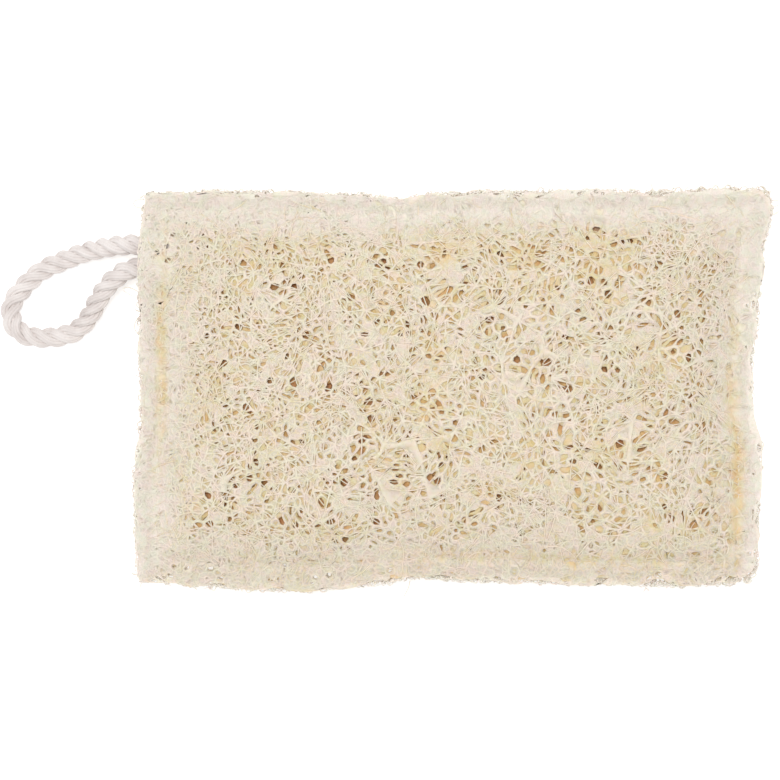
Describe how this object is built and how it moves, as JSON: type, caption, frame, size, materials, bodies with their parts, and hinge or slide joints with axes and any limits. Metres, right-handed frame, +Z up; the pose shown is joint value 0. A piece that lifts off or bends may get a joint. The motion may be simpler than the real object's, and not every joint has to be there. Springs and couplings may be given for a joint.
{
  "type": "loofah scrubbing pad",
  "caption": "Rectangular scrubbing pad of natural loofah net, sewn round the edge, with a hanging loop of twisted cotton rope.",
  "frame": {"origin": "on the resting surface, under the middle of the two loofah layers", "axes": "+X along the long side, away from the hanging loop; +Y along the short side, towards the corner where the loop is sewn in; +Z up through the pad's thickness"},
  "size_m": [0.1925, 0.102, 0.022],
  "materials": {
    "loofah": "dry, pale plant fibre, unbleached",
    "sewing_thread": "undyed twisted thread",
    "cotton_rope": "undyed three-strand cotton, slightly hairy"
  },
  "bodies": {
    "root": {"front_layer": "loofah", "back_layer": "loofah", "seam_thread": "sewing_thread", "rope_loop": "cotton_rope"}
  },
  "joints": []
}
